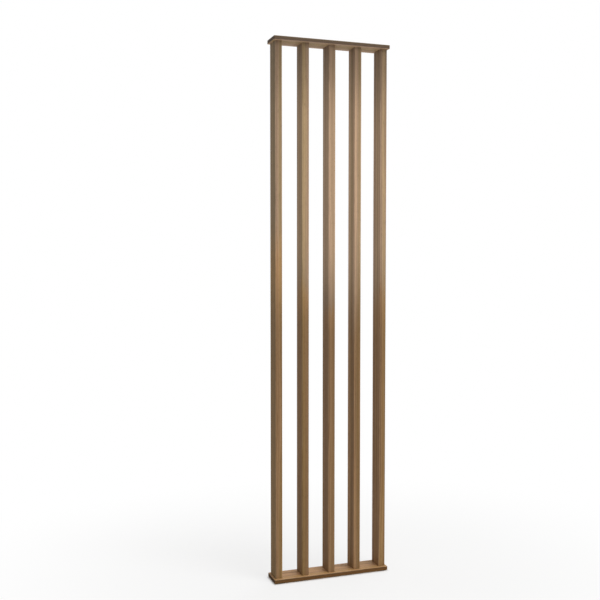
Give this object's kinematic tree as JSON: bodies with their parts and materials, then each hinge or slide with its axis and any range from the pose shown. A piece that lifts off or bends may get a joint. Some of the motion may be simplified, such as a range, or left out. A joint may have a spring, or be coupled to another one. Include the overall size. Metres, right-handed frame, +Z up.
{
  "type": "slatted room divider",
  "caption": "Fixed floor-to-ceiling screen of upright wooden slats set edge-on between a thin top board and a thin bottom board.",
  "frame": {"origin": "on the floor, under the middle of the bottom board", "axes": "+X to the right along the boards, +Y to the back, +Z up along the slats"},
  "size_m": [0.5, 0.095, 2.2],
  "materials": {
    "board_wood": "satin",
    "slat_wood": "satin",
    "pad_rubber": "matt",
    "screw_steel": "zinc plated"
  },
  "bodies": {
    "root": {"bottom_board": "board_wood", "top_board": "board_wood", "slat_1": "slat_wood", "slat_2": "slat_wood", "slat_3": "slat_wood", "slat_4": "slat_wood", "slat_5": "slat_wood", "top_screw_1_front": "screw_steel", "top_screw_1_back": "screw_steel", "top_screw_2_front": "screw_steel", "top_screw_2_back": "screw_steel", "top_screw_3_front": "screw_steel", "top_screw_3_back": "screw_steel", "top_screw_4_front": "screw_steel", "top_screw_4_back": "screw_steel", "top_screw_5_front": "screw_steel", "top_screw_5_back": "screw_steel", "bottom_screw_1_front": "screw_steel", "bottom_screw_1_back": "screw_steel", "bottom_screw_2_front": "screw_steel", "bottom_screw_2_back": "screw_steel", "bottom_screw_3_front": "screw_steel", "bottom_screw_3_back": "screw_steel", "bottom_screw_4_front": "screw_steel", "bottom_screw_4_back": "screw_steel", "bottom_screw_5_front": "screw_steel", "bottom_screw_5_back": "screw_steel", "floor_pad_front_left": "pad_rubber", "floor_pad_front_right": "pad_rubber", "floor_pad_back_left": "pad_rubber", "floor_pad_back_right": "pad_rubber"}
  },
  "joints": []
}
